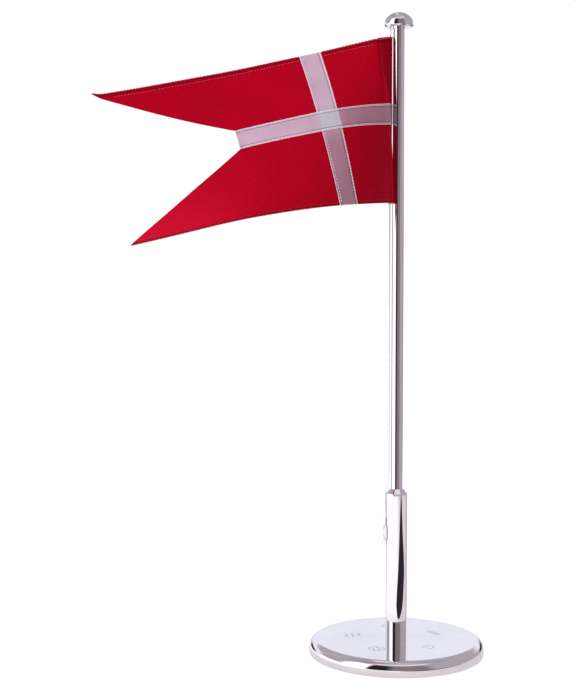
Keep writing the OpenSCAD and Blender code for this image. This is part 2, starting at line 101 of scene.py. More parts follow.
def make_camera():
    """Before the stand, looking along +Y and a few degrees down."""
    data = bpy.data.cameras.new("camera")
    data.lens = 70
    data.sensor_width = 36
    camera = bpy.data.objects.new("camera", data)
    camera.location = CAMERA_PLACE
    camera.rotation_euler = (math.radians(90 - CAMERA_TILT), 0, 0)
    bpy.context.collection.objects.link(camera)
    bpy.context.scene.camera = camera


make_camera()


# ---- materials ----

class Shader:
    """A material with one Principled shader, and short calls that add nodes to it."""

    def __init__(self, name, **uniform):
        self.material = bpy.data.materials.new(name)
        self.material.use_nodes = True
        self.tree = self.material.node_tree
        self.surface = self.tree.nodes["Principled BSDF"]
        for socket, value in uniform.items():
            self.surface.inputs[socket.replace("_", " ")].default_value = value

    def node(self, kind, inputs=(), **settings):
        made = self.tree.nodes.new("ShaderNode" + kind)
        for key, value in settings.items():
            setattr(made, key, value)
        for key, value in dict(inputs).items():
            if hasattr(value, "links"):
                self.tree.links.new(value, made.inputs[key])
            else:
                made.inputs[key].default_value = value
        return made

    def math(self, operation, a, b=0.0):
        return self.node("Math", {0: a, 1: b}, operation=operation).outputs[0]

    def times(self, a, b):
        return self.math("MULTIPLY", a, b)

    def plus(self, a, b):
        return self.math("ADD", a, b)

    def place(self):
        return self.node("TexCoord").outputs["Object"]

    def attribute(self, name):
        """The three numbers that the mesh carries under that name."""
        vector = self.node("Attribute", attribute_name=name).outputs["Vector"]
        return self.node("SeparateXYZ", {0: vector}).outputs

    def noise(self, scale, detail=3.0, rough=0.5, stretch=None):
        vector = self.place()
        if stretch:
            vector = self.node("Mapping", {"Vector": vector, "Scale": stretch}).outputs[0]
        settings = {"Vector": vector, "Scale": scale, "Detail": detail, "Roughness": rough}
        return self.node("TexNoise", settings).outputs["Fac"]

    def ramp(self, factor, stops):
        made = self.node("ValToRGB", {"Fac": factor})
        elements = made.color_ramp.elements
        while len(elements) < len(stops):
            elements.new(0.5)
        for element, (position, colour) in zip(elements, stops):
            element.position = position
            element.color = (*colour, 1)
        return made.outputs["Color"]

    def mix(self, factor, a, b, blend="MIX"):
        made = self.node("Mix", {0: factor, 6: a, 7: b}, data_type="RGBA", blend_type=blend)
        return made.outputs[2]

    def span(self, value, low, high, to_low=0.0, to_high=1.0):
        settings = {0: value, 1: low, 2: high, 3: to_low, 4: to_high}
        return self.node("MapRange", settings).outputs[0]

    def ripple(self, value, period):
        """0 to 1 and back over each period of value."""
        turned = self.times(value, 2 * math.pi / period)
        return self.span(self.math("SINE", turned), -1, 1)

    def colour(self, colour):
        self.tree.links.new(colour, self.surface.inputs["Base Color"])

    def rough(self, value):
        self.tree.links.new(value, self.surface.inputs["Roughness"])

    def bump(self, height, strength, distance):
        made = self.node("Bump", {"Height": height, "Strength": strength, "Distance": distance})
        self.tree.links.new(made.outputs[0], self.surface.inputs["Normal"])


def chrome_material():
    """Polished chrome: a mirror with a trace of cast haze, fine hairlines and uneven gloss."""
    mat = Shader("polished_chrome", Metallic=1.0)
    cloud = mat.noise(45, detail=4)
    mat.colour(mat.ramp(cloud, [(0.3, (0.86, 0.85, 0.87)), (0.7, (0.93, 0.92, 0.94))]))
    hairlines = mat.noise(1400, detail=2, stretch=(1, 1, 0.04))
    gloss = mat.times(hairlines, cloud)
    mat.rough(mat.span(gloss, 0.1, 0.5, 0.025, 0.06))
    mat.bump(mat.noise(260, detail=2), 0.03, 0.02 * MM)
    return mat.material


def engraved_material():
    """The matt floor of an engraved line in the chrome."""
    mat = Shader("engraved_chrome", Metallic=1.0)
    grain = mat.noise(2400, detail=2)
    mat.colour(mat.ramp(grain, [(0.3, (0.36, 0.35, 0.38)), (0.7, (0.52, 0.5, 0.54))]))
    mat.rough(mat.span(grain, 0.3, 0.7, 0.4, 0.6))
    return mat.material


def zinc_material():
    """Zinc-plated steel of the screw, washer, plugs and rivets."""
    mat = Shader("zinc_steel", Metallic=1.0)
    cloud = mat.noise(380, detail=5)
    mat.colour(mat.ramp(cloud, [(0.3, (0.5, 0.5, 0.5)), (0.7, (0.68, 0.67, 0.63))]))
    mat.rough(mat.span(cloud, 0.3, 0.7, 0.25, 0.42))
    mat.bump(cloud, 0.15, 0.05 * MM)
    return mat.material


def felt_material():
    """Short-napped felt."""
    mat = Shader("felt", Sheen_Weight=0.4, Sheen_Roughness=0.6)
    fibres = mat.noise(2600, detail=4, rough=0.7)
    patches = mat.noise(90, detail=3)
    tone = mat.times(fibres, patches)
    mat.colour(mat.ramp(tone, [(0.1, (0.02, 0.024, 0.035)), (0.5, (0.075, 0.085, 0.11))]))
    mat.rough(mat.span(fibres, 0.3, 0.7, 0.85, 1.0))
    mat.bump(fibres, 0.8, 0.25 * MM)
    return mat.material


def cord_material():
    """Finely braided polyester line, pale lilac white."""
    radians_per_mm = 7.0
    mat = Shader("halyard_cord", Sheen_Weight=0.2)
    along, turn, _ = mat.attribute("cord")
    wound = mat.times(turn, 2 * math.pi)
    run = mat.times(along, radians_per_mm)
    one_way = mat.math("SINE", mat.plus(run, wound))
    other_way = mat.math("SINE", mat.math("SUBTRACT", run, wound))
    plait = mat.span(mat.math("MAXIMUM", one_way, other_way), -0.3, 1)
    mat.colour(mat.ramp(plait, [(0.0, (0.55, 0.5, 0.58)), (0.6, (0.83, 0.8, 0.86))]))
    mat.rough(mat.span(plait, 0, 1, 0.7, 0.45))
    mat.bump(plait, 0.6, 0.08 * MM)
    return mat.material


def cloth_material():
    """Red bunting with ribs along the fly, crossed by finer warp threads, with painted shade on its doubled
    hems and painted light towards the lower tail.
    """
    rib_mm, warp_mm = 1.15, 0.42
    mat = Shader("flag_cloth", Sheen_Weight=0.02, Sheen_Roughness=0.4, Specular_IOR_Level=0.03,
                 Sheen_Tint=(1.0, 0.35, 0.45, 1))
    across, down, _ = mat.attribute("cloth_mm")
    rib = mat.ripple(down, rib_mm)
    warp = mat.ripple(across, warp_mm)
    weave = mat.plus(mat.times(rib, 0.75), mat.times(warp, 0.25))
    slub = mat.noise(900, detail=3, stretch=(0.15, 1, 1))
    cloud = mat.noise(28, detail=3)
    dye = mat.ramp(cloud, [(0.3, (0.37, 0.0, 0.011)), (0.7, (0.42, 0.0, 0.015))])
    # painted light: the dye is mixed towards a brighter red over the lower tail
    lower_tail_painted_light = mat.times(mat.span(across, 90, 175), mat.span(down, 45, 95))
    dye_with_painted_light = mat.mix(lower_tail_painted_light, dye, (0.56, 0.006, 0.03, 1))
    rib_tone = mat.ramp(weave, [(0, (0.66, 0.6, 0.6)), (1, (1.18, 1, 1.1))])
    ribbed = mat.mix(0.9, dye_with_painted_light, rib_tone, "MULTIPLY")
    slub_tone = mat.ramp(slub, [(0.3, (0.8, 0.7, 0.7)), (0.7, (1, 1, 1))])
    flecked = mat.mix(0.15, ribbed, slub_tone, "MULTIPLY")
    # painted shade: the doubled hems at top and bottom are painted darker
    below_top_hem = mat.span(down, 2.5, 2.9)
    above_bottom_hem = mat.span(down, 98.9, 98.5)
    single = mat.times(below_top_hem, above_bottom_hem)
    hem_painted_shade = mat.mix(single, (0.68, 0.6, 0.66, 1), (1, 1, 1, 1))
    mat.colour(mat.mix(1.0, flecked, hem_painted_shade, "MULTIPLY"))
    mat.rough(mat.span(weave, 0, 1, 0.9, 0.7))
    height = mat.plus(weave, mat.times(slub, 0.6))
    mat.bump(height, 0.5, 0.12 * MM)
    return mat.material


def ribbon_material():
    """Thin white satin ribbon: red glows through one layer, and hardly through two.

    Its third number is 0 for one layer in painted shade, 0.5 for one layer in painted light, and 1 for two
    layers."""
    rib_mm, sewn_line = 0.5, 0.385
    mat = Shader("ribbon_cloth", Sheen_Weight=0.15, Specular_IOR_Level=0.35)
    across, along, layers_and_painted_shade = mat.attribute("ribbon")
    ribs = mat.ripple(along, rib_mm)
    selvage = mat.math("MAXIMUM", mat.span(across, 0.05, 0.0), mat.span(across, 0.95, 1.0))
    inward = mat.math("ABSOLUTE", mat.math("SUBTRACT", across, 0.5))
    off_line = mat.math("ABSOLUTE", mat.math("SUBTRACT", inward, sewn_line))
    groove = mat.span(off_line, 0.012, 0.035)
    cloud = mat.noise(70, detail=2)
    # painted shade and light on one layer: a darker and a lighter tone, beside the paler tone of two layers
    shaded_single, lit_single, double = (0.35, 0.16, 0.22), (0.5, 0.33, 0.43), (0.49, 0.44, 0.51)
    tone = mat.ramp(layers_and_painted_shade, [(0.0, shaded_single), (0.5, lit_single), (0.9, lit_single), (1.0, double)])
    patch = mat.ramp(cloud, [(0.3, (0.92, 0.9, 0.91)), (0.7, (1.06, 1.08, 1.07))])
    body = mat.mix(1.0, tone, patch, "MULTIPLY")
    # painted shade: the ribbon is painted darker along the sunken sewn line
    groove_painted_shade = mat.mix(1.0, body, (0.58, 0.5, 0.54, 1), "MULTIPLY")
    sewn = mat.mix(groove, groove_painted_shade, body)
    edged = mat.mix(selvage, sewn, (0.72, 0.62, 0.7, 1))
    fine = mat.ramp(ribs, [(0, (0.93, 0.93, 0.93)), (1, (1, 1, 1))])
    mat.colour(mat.mix(1.0, edged, fine, "MULTIPLY"))
    mat.rough(mat.span(ribs, 0, 1, 0.62, 0.45))
    height = mat.plus(ribs, mat.times(groove, 2.0))
    mat.bump(height, 0.3, 0.06 * MM)
    return mat.material


def thread_material(name, dark, light):
    """Twisted sewing thread."""
    mat = Shader(name, Sheen_Weight=0.1)
    twist = mat.noise(3200, detail=2)
    mat.colour(mat.ramp(twist, [(0.35, dark), (0.65, light)]))
    mat.rough(mat.span(twist, 0.3, 0.7, 0.4, 0.7))
    mat.bump(twist, 0.4, 0.04 * MM)
    return mat.material


CHROME = chrome_material()
ENGRAVED = engraved_material()
ZINC = zinc_material()
FELT = felt_material()
CORD = cord_material()
CLOTH = cloth_material()
RIBBON = ribbon_material()
WHITE_THREAD = thread_material("white_thread", (0.82, 0.76, 0.84), (0.97, 0.95, 0.98))
PINK_THREAD = thread_material("pink_thread", (0.5, 0.03, 0.09), (0.66, 0.1, 0.18))
EDGE_THREAD = thread_material("edge_thread", (0.36, 0.0, 0.012), (0.56, 0.008, 0.035))
RED_THREAD = thread_material("red_thread", (0.2, 0.0, 0.012), (0.42, 0.01, 0.03))


# ---- mesh helpers ----

SHARP_TURNED = math.radians(25)
SHARP_SEWN = math.radians(50)


def unit(vectors):
    return vectors / np.linalg.norm(vectors, axis=-1, keepdims=True)


def make_object(name, points, faces, material, attributes=()):
    """A smooth-shaded mesh object. attributes gives three numbers a point for its material."""
    mesh = bpy.data.meshes.new(name)
    mesh.from_pydata(np.asarray(points).tolist(), [], [list(map(int, f)) for f in faces])
    mesh.materials.append(material)
    mesh.shade_smooth()
    for key, values in dict(attributes).items():
        layer = mesh.attributes.new(key, "FLOAT_VECTOR", "POINT")
        layer.data.foreach_set("vector", np.asarray(values, dtype=np.float32).ravel())
    made = bpy.data.objects.new(name, mesh)
    bpy.context.collection.objects.link(made)
    return made


def sweep_rings(path, radius, sides, closed=False):
    """Rings of points round a path, with frames carried along it without twist."""
    if closed:
        tangents = unit(np.roll(path, -1, 0) - np.roll(path, 1, 0))
    else:
        tangents = unit(np.gradient(path, axis=0))
    side = np.cross(tangents[0], (0.3, 0.5, 0.81))
    angles = np.arange(sides) * 2 * math.pi / sides
    radius = np.broadcast_to(radius, len(path))
    rings = []
    for point, tangent, r in zip(path, tangents, radius):
        side = unit(side - tangent * side.dot(tangent))
        up = np.cross(tangent, side)
        rings.append(point + r * (np.cos(angles)[:, None] * side + np.sin(angles)[:, None] * up))
    return np.array(rings)


def ring_faces(count, sides, start=0, closed=False):
    """Quads between rings, and a cap at each end of an open run."""
    faces = []
    for i in range(count if closed else count - 1):
        here, there = start + i * sides, start + (i + 1) % count * sides
        for k in range(sides):
            n = (k + 1) % sides
            faces.append((here + k, here + n, there + n, there + k))
    if not closed:
        faces.append([start + k for k in range(sides - 1, -1, -1)])
        faces.append([start + (count - 1) * sides + k for k in range(sides)])
    return faces


def tube(name, path, radius, sides, material, closed=False):
    """A round cord along a path. Its attribute is (length along in mm, turns round, 0)."""
    rings = sweep_rings(path, radius, sides, closed)
    steps = np.linalg.norm(np.diff(path, axis=0), axis=1)
    along = np.concatenate([[0], np.cumsum(steps)]) / MM
    turns = np.tile(np.arange(sides) / sides, len(path))
    cord = np.stack([np.repeat(along, sides), turns, np.zeros_like(turns)], 1)
    faces = ring_faces(len(path), sides, closed=closed)
    return make_object(name, rings.reshape(-1, 3), faces, material, {"cord": cord})


def smooth_path(points, steps):
    """A curve through every point, with that many steps between neighbours."""
    p = np.vstack([2 * points[0] - points[1], points, 2 * points[-1] - points[-2]])
    t = np.linspace(0, 1, steps, endpoint=False)[:, None]
    parts = []
    for a, b, c, d in zip(p[:-3], p[1:-2], p[2:-1], p[3:]):
        parts.append(0.5 * (2 * b + (c - a) * t + (2 * a - 5 * b + 4 * c - d) * t**2
                            + (3 * b - a - 3 * c + d) * t**3))
    return np.vstack([*parts, points[-1:]])


def lathe(name, profile, material, segments=192):
    """A turned piece. profile runs from the axis at the top, down the outside, back to the axis."""
    profile = np.array(profile)
    angles = np.arange(segments) * 2 * math.pi / segments
    inner = profile[1:-1]
    points = [(0, 0, profile[0][1])]
    for r, z in inner:
        points.extend(np.stack([r * np.cos(angles), r * np.sin(angles), np.full(segments, z)], 1))
    points.append((0, 0, profile[-1][1]))
    last = len(points) - 1
    faces = []
    for k in range(segments):
        n = (k + 1) % segments
        faces.append((0, 1 + k, 1 + n))
        foot = 1 + (len(inner) - 1) * segments
        faces.append((last, foot + n, foot + k))
        for i in range(len(inner) - 1):
            a, b = 1 + i * segments, 1 + (i + 1) * segments
            faces.append((a + k, b + k, b + n, a + n))
    made = make_object(name, points, faces, material)
    made.data.set_sharp_from_angle(angle=SHARP_TURNED)
    return made


def arc(cx, cz, rx, rz, start, end, steps):
    """Points of an elliptic arc in the turning plane, angles in degrees."""
    angles = np.radians(np.linspace(start, end, steps + 1))
    return list(zip(cx + rx * np.cos(angles), cz + rz * np.sin(angles)))


# ---- base ----

MARK_RING_R = 27 * MM
MARK_REACH = 8 * MM
MARK_W = 0.35 * MM
MARK_DEPTH = 0.12 * MM
BASE_SEGMENTS = 240


def stroke(centre, radius, start, end, turn=0.0):
    """A narrow bar bent along an arc, as (points, faces), to be cut from the base's top."""
    step_degrees = 7
    steps = max(2, int(abs(end - start) / step_degrees))
    angles = np.radians(np.linspace(max(start, end), min(start, end), steps + 1) + turn)
    whole = abs(end - start) >= 360
    if whole:
        angles = angles[:-1]
    inner, outer = radius - MARK_W / 2, radius + MARK_W / 2
    low, high = disc_hi[2] - MARK_DEPTH, disc_hi[2] + MARK_DEPTH
    points = [(centre[0] + r * math.cos(a), centre[1] + r * math.sin(a), z) for a in angles
              for r, z in ((inner, low), (outer, low), (outer, high), (inner, high))]
    return points, ring_faces(len(angles), 4, closed=whole)


def straight_stroke(start, length, angle):
    """A short straight bar, as a very flat arc."""
    radius = 400 * MM
    a = math.radians(angle)
    normal = (-math.sin(a), math.cos(a))
    centre = (start[0] - normal[0] * radius, start[1] - normal[1] * radius)
    sweep = math.degrees(length / radius)
    return stroke(centre, radius, angle + 90, angle + 90 - sweep)


def turned(x, y, degrees):
    """A point turned about the origin."""
    a = math.radians(degrees)
    return x * math.cos(a) - y * math.sin(a), x * math.sin(a) + y * math.cos(a)


def mark_strokes():
    """Five small outline motifs round the pole: flower, waves, balloon, heart, candles."""
    strokes = []

    def at_mark(index, spin):
        """The two pens for one motif: its place on the ring, and how far it is turned there."""
        home = turned(MARK_RING_R, 0, 96 + 72 * index)

        def at(x, y):
            px, py = turned(x * MM, y * MM, spin)
            return home[0] + px, home[1] + py

        def bend(x, y, r, start, end):
            strokes.append(stroke(at(x, y), r * MM, start, end, spin))

        def line(x, y, length, angle):
            strokes.append(straight_stroke(at(x, y), length * MM, angle + spin))

        return bend, line

    bend, _ = at_mark(0, 0)
    for a in range(0, 360, 72):
        bend(*turned(2.6, 0, a), 1.5, a - 125, a + 125)
    bend(0, 0, 0.9, 0, 360)
    bend, _ = at_mark(1, 12)
    for x in (-4, 0, 4):
        bend(x - 1, 2, 2, -80, 80)
        bend(x + 1, -2, 2, 100, 260)
    bend, _ = at_mark(2, 0)
    bend(0, 0, 4.6, 0, 360)
    for a in range(0, 360, 72):
        bend(*turned(2.2, 0, a), 0.6, 0, 360)
    bend, line = at_mark(3, 20)
    bend(-1.9, 1.2, 1.9, 10, 210)
    bend(1.9, 1.2, 1.9, -30, 170)
    line(-3.5, 0.1, 5.4, 309.5)
    line(3.5, 0.1, 5.4, 230.5)
    _, line = at_mark(4, -52)
    line(-5.5, -1.8, 11, 0)
    for x in np.arange(-4.5, 5, 1.5):
        line(x, -1.3, 3, 90)
    return strokes


def engrave(piece):
    """Cuts the motifs into the top of the base, one stroke at a time."""
    for index, (points, faces) in enumerate(mark_strokes()):
        cutter = make_object(f"cutter_{index}", points, faces, CHROME)
        cut = piece.modifiers.new("cut", "BOOLEAN")
        cut.operation = "DIFFERENCE"
        cut.object = cutter
        cut.solver = "EXACT"
        bpy.context.view_layer.update()
        evaluated = piece.evaluated_get(bpy.context.evaluated_depsgraph_get())
        shape = bpy.data.meshes.new_from_object(evaluated)
        piece.modifiers.clear()
        piece.data = shape
        bpy.data.objects.remove(cutter)
    piece.data.materials.append(ENGRAVED)
    for face in piece.data.polygons:
        sunk = disc_hi[2] - face.center.z
        if 0.01 * MM < sunk < 1.5 * MARK_DEPTH and face.center.xy.length < MARK_RING_R + MARK_REACH:
            face.material_index = 1
    piece.data.set_sharp_from_angle(angle=SHARP_TURNED)


def make_base():
    """The turned disc: flat top, round rim, small foot edge and the felt's recess, then engraved."""
    inner_r = 8 * MM
    recess_r = FELT_R + 0.3 * MM
    recess_z = felt_hi[2]
    top, foot = disc_hi[2], disc_lo[2]
    rim_in = BASE_R - RIM_R
    profile = [(0, top), (inner_r, top), (rim_in - 0.25 * MM, top)]
    profile += arc(rim_in, top - RIM_R, RIM_R, RIM_R, 90, 0, 36)
    profile += [(BASE_R, foot + FOOT_EDGE_R + 0.1 * MM)]
    profile += arc(BASE_R - FOOT_EDGE_R, foot + FOOT_EDGE_R, FOOT_EDGE_R, FOOT_EDGE_R, 0, -90, 8)
    profile += [(recess_r, foot), (recess_r, recess_z), (inner_r, recess_z), (0, recess_z)]
    base = lathe("base_turned", profile, CHROME, BASE_SEGMENTS)
    engrave(base)
    return base


def make_felt():
    """The pad in the recess, with soft edges."""
    soft = 0.3 * MM
    inner_r = FELT_R * 0.6
    profile = [(0, felt_hi[2]), (inner_r, felt_hi[2])]
    profile += arc(FELT_R - soft, felt_hi[2] - soft, soft, soft, 90, 0, 4)
    profile += arc(FELT_R - soft, soft, soft, soft, 0, -90, 4)
    profile += [(inner_r, 0), (0, 0)]
    return lathe("felt_pad", profile, FELT, BASE_SEGMENTS)


# ---- finial ----

def make_finial():
    """The mushroom cap: dome, rounded lip, the plate's seat, the line's cavity and the stud's hole."""
    under = plate_lo[2]
    widest_z = under + 1.8 * MM
    finial_r = 8.8 * MM
    plate_r = 7.2 * MM
    cavity_r = 6.4 * MM
    boss_r = 2.6 * MM
    stud_hole_r = 1.53 * MM
    ceiling = plate_hi[2]
    cavity_top = ceiling + 3.2 * MM
    stud_hole_top = ceiling + 3.6 * MM
    lip_w = finial_r - plate_r - 0.4 * MM
    dome = arc(0, widest_z, finial_r, finial_hi[2] - widest_z, 90, 0, 40)
    profile = dome + arc(finial_r - lip_w, widest_z, lip_w, widest_z - under, 0, -90, 14)[1:]
    profile += [(plate_r, under), (plate_r, ceiling), (cavity_r, ceiling), (cavity_r, cavity_top),
                (boss_r, cavity_top), (boss_r, ceiling), (stud_hole_r, ceiling),
                (stud_hole_r, stud_hole_top), (0, stud_hole_top)]
    return lathe("finial_turned", profile, CHROME)


# ---- halyard ----

LINE_GAP = 1.5 * MM
ON_TUBE = TUBE_R + LINE_R + LINE_CLEAR
LINE_STEP = 2 * LINE_R + LINE_CLEAR
CLEAT_Z = (cleat_lo[2] + cleat_hi[2]) / 2
CLEAT_HALF_W = 1 * MM
TURN_LEVEL = 2.3 * MM
CLEAT_TURNS = 2
LEAD_SIDE = CLEAT_HALF_W + LINE_R + LINE_CLEAR + CLEAT_TURNS * LINE_STEP
TUBE_TOP = tube_hi[2]
BACK_ANGLE = 85


def beside_tube(r, side, z):
    """A point beside the tube: side is how far round it towards the back."""
    a = side / ON_TUBE
    return np.array([-r * math.cos(a), r * math.sin(a), z])


def over_collar(side_start, side_steps):
    """From the run beside the pole, out over the collar's cone in four points and onto the tube."""
    near = POLE_R + LINE_GAP
    out = [(near + 0.15 * MM, LINE_FOOT - 2 * MM),
           (near + 0.45 * (ON_TUBE - near), TUBE_TOP + 3.4 * MM),
           (near + 0.9 * (ON_TUBE - near), TUBE_TOP + 1.2 * MM),
           (ON_TUBE + 0.1 * MM, TUBE_TOP - 0.4 * MM)]
    return [beside_tube(r, side_start + step * MM, z) for (r, z), step in zip(out, side_steps)]


def eased(t):
    return t * t * (3 - 2 * t)


def down_tube(start_side, start_z, end_side, end_z, shares):
    """Points on the tube that ease from one side to another on their way down."""
    return [beside_tube(ON_TUBE, start_side + (end_side - start_side) * eased(t),
                        start_z + (end_z - start_z) * t) for t in shares]


def cleat_turns():
    """The turns round the cleat from the outermost inwards: half round below it, half above."""
    turns = []
    for n in range(CLEAT_TURNS):
        for k in range(12):
            half = 1 if k < 6 else -1
            a = math.radians(k % 6 * 36)
            w = LEAD_SIDE - LINE_STEP * (n + k / 12)
            dz = -half * (TURN_LEVEL + w * math.sin(a))
            turns.append(beside_tube(ON_TUBE, half * w * math.cos(a), CLEAT_Z + dz))
    return turns


def into_bend(foot, way):
    """A quarter bend from the finial plate's hole towards the other run."""
    bend, rise = 1.2 * MM, 0.7 * MM
    quarter = [math.radians(90 * k / 4) for k in range(5)]
    return [foot + [0, 0, rise + bend * math.sin(q)] + bend * (1 - math.cos(q)) * way for q in quarter]


def halyard_route():
    """The whole loop in one run: cleat turns, front run, over in the finial, back run, knot."""
    run_steps, front_start, back_start = 16, 0.6 * MM, -0.9 * MM
    lead = [np.array([LINE_X, 0, LINE_FOOT])] + over_collar(0, (0.05, 0.15, 0.35, 0.5))
    lead_z = CLEAT_Z + TURN_LEVEL
    lead += down_tube(front_start, TUBE_TOP - MM, LEAD_SIDE, lead_z, [k / 7 for k in range(1, 8)])
    lead += cleat_turns()
    back_side = math.radians(180 - BACK_ANGLE) * ON_TUBE
    back_x, back_y = (back_lo[0] + back_hi[0]) / 2, (back_lo[1] + back_hi[1]) / 2
    tail = [np.array([back_x, back_y, LINE_FOOT])] + over_collar(back_side, (-0.05, -0.15, -0.4, -0.7))
    knot_side, knot_z = LEAD_SIDE + 1.1 * MM, lead_z + 5 * MM
    tail += down_tube(back_side + back_start, TUBE_TOP - 1.5 * MM, knot_side, knot_z,
                      [k / 12 for k in range(1, 13)])
    front, rear = np.array([LINE_X, 0, plate_hi[2]]), np.array([back_x, back_y, plate_hi[2]])
    across = unit(rear - front)
    heights = np.linspace(LINE_FOOT, plate_hi[2], run_steps)
    front_run = [np.array([LINE_X, 0, z]) for z in heights[1:]]
    back_run = [np.array([back_x, back_y, z]) for z in heights[:0:-1]]
    over = into_bend(front, across) + into_bend(rear, -across)[::-1]
    points = lead[::-1] + front_run + over + back_run + tail
    return np.array(points), beside_tube(ON_TUBE + 0.75 * MM, knot_side, knot_z)


def make_halyard():
    """The line, and its knot as a closed trefoil."""
    points, knot = halyard_route()
    line = tube("halyard", smooth_path(points, 8), LINE_R, 12, CORD)
    knot_scale, knot_line_r = 0.33 * MM, 0.36 * MM
    t = np.linspace(0, 2 * math.pi, 97)[:-1]
    curl = np.stack([-1.3 * np.sin(3 * t), np.sin(t) + 2 * np.sin(2 * t), np.cos(t) - 2 * np.cos(2 * t)], 1)
    return line, tube("knot", knot + curl * knot_scale, knot_line_r, 10, CORD, closed=True)


# ---- flag surface ----

# [share of the fly away from the hoist, share of the hoist towards the front, share of it down],
# 5 control points along the fly, 3 down the hoist
FLAG_NET = np.array([[[0.050, 0.07, 0.02], [0.017, 0.12, 0.49], [0.006, 0.12, 0.99]],
                     [[0.294, 0.04, 0.12], [0.178, 0.50, 0.48], [0.106, 0.50, 1.01]],
                     [[0.511, 0.12, 0.22], [0.467, 0.31, 0.66], [0.394, 0.65, 1.03]],
                     [[0.739, 0.20, 0.30], [0.656, 0.28, 0.79], [0.594, 0.62, 1.16]],
                     [[0.967, 0.28, 0.38], [0.900, 0.48, 0.82], [0.817, 0.69, 1.25]]])
NET = np.array([LINE_X, 0, FLAG_TOP]) - FLAG_NET * [FLY_L, HOIST_H, HOIST_H]
SLEEVE_MID = 0.95 * MM
SLEEVE_RISE = 2 * MM
SEAM_BACK = 1 * MM
ARC_W = 3 * MM
BACK_W = 11 * MM
CREASE_SOFT = 0.8 * MM
BELLY = 2.1 * MM
BELLY_FROM = 3.5 * MM
BELLY_TOP_V = 0.14
BELLY_RAMP_V = 0.28
CURL_L = 8 * MM
CURL_H = 1.4 * MM
CURL_V = 0.12
CURL_WAY = [0.2, -0.5, 1]


def panel(u, v):
    """The fly from the crease to its end: a Bezier sheet over the net, u along and v down."""
    down = ((1 - v) ** 2, 2 * (1 - v) * v, v**2)
    along = ((1 - u) ** 4, 4 * (1 - u) ** 3 * u, 6 * (1 - u) ** 2 * u**2, 4 * (1 - u) * u**3, u**4)
    return sum((a * d)[..., None] * NET[i, j] for i, a in enumerate(along) for j, d in enumerate(down))


def sleeve(w, v):
    """The turned-back hoist: w from -14 mm at its sewn edge, round the line at 0, to the crease."""
    crease = panel(np.zeros_like(v), v)
    axis = np.stack([np.full_like(v, LINE_X), np.zeros_like(v), crease[..., 2] + SLEEVE_RISE * (1 - v)], -1)
    span = (crease - axis) * [1, 1, 0]
    reach = np.linalg.norm(span, axis=-1)
    e = span / reach[..., None]
    f = np.stack([-e[..., 1], e[..., 0], np.zeros_like(v)], -1)
    drop = (crease[..., 2] - axis[..., 2]) / reach
    end_x, end_y = reach - SEAM_BACK, CLOTH_T + 2 * LAYER_GAP
    front_a = np.arccos(SLEEVE_MID / reach)
    back_a = np.arctan2(end_y, end_x) + np.arccos(SLEEVE_MID / np.hypot(end_x, end_y))
    on_front, on_arc = w >= 0, (w < 0) & (w >= -ARC_W)
    turn = np.clip(-w / ARC_W, 0, 1)
    a = np.where(on_front, front_a, (front_a - 2 * math.pi) * (1 - turn) - back_a * turn)
    tangent_x, tangent_y = SLEEVE_MID * np.cos(a), SLEEVE_MID * np.sin(a)
    out = np.clip(w / SLEEVE_W, 0, 1)
    back = np.clip((-w - ARC_W) / BACK_W, 0, 1)
    x = np.where(on_front, tangent_x + (reach - tangent_x) * out,
                 np.where(on_arc, tangent_x, tangent_x + (end_x - tangent_x) * back))
    y = np.where(on_front, tangent_y * (1 - out),
                 np.where(on_arc, tangent_y, tangent_y + (-end_y - tangent_y) * back))
    point = axis + x[..., None] * e + y[..., None] * f
    point[..., 2] += drop * np.maximum(0, x)
    return point


def smooth_surface(w, v):
    """The sleeve and the fly, with the crease between them rounded off."""
    w, v = np.broadcast_arrays(np.asarray(w, float), np.asarray(v, float))
    share = np.maximum(0, (w - SLEEVE_W) / (FLY_L - SLEEVE_W))
    point = np.where((w > SLEEVE_W)[..., None], panel(share, v), sleeve(np.minimum(w, SLEEVE_W), v))
    soft = np.abs(w - SLEEVE_W) < CREASE_SOFT
    t = np.clip((w - SLEEVE_W + CREASE_SOFT) / (2 * CREASE_SOFT), 0, 1)[..., None]
    before = sleeve(np.full_like(w, SLEEVE_W - CREASE_SOFT), v)
    after = panel(np.full_like(w, CREASE_SOFT / (FLY_L - SLEEVE_W)), v)
    crease = panel(np.zeros_like(v), v)
    rounded = (1 - t) ** 2 * before + 2 * t * (1 - t) * crease + t**2 * after
    return np.where(soft[..., None], rounded, point)


def near(off, width):
    """1 on a sewn line, falling away beside it."""
    return np.exp(-(off / width) ** 2)


def pucker(w, v):
    """Small ripples of the cloth along its sewn lines, and a broad one over the fly."""
    down = v * HOIST_H
    hem_w, ribbon_edge_w = 2 * MM, 2.5 * MM
    near_hem = near(down - 3 * MM, hem_w) + near(down - HOIST_H + 2 * MM, hem_w)
    near_bar = sum(near(down - edge, ribbon_edge_w) for edge in (BAR_TOP, BAR_TOP + RIBBON_W))
    near_cross = sum(near(w - edge, ribbon_edge_w) for edge in (CROSS_W, CROSS_END))
    along = np.sin(w / (1.05 * MM)) + 0.6 * np.sin(w / (0.63 * MM) + 1)
    across = np.sin(down / (1.1 * MM)) + 0.6 * np.sin(down / (0.67 * MM) + 2)
    broad = np.sin(w / (9 * MM) + down / (14 * MM)) * np.clip((w - SLEEVE_W) / (30 * MM), 0, 1)
    past_sleeve = np.clip((w - SLEEVE_W - 2 * MM) / (4 * MM), 0, 1)
    sewn = 0.05 * (near_hem + near_bar) * along + 0.05 * near_cross * across
    return past_sleeve * (sewn + 0.12 * broad) * MM


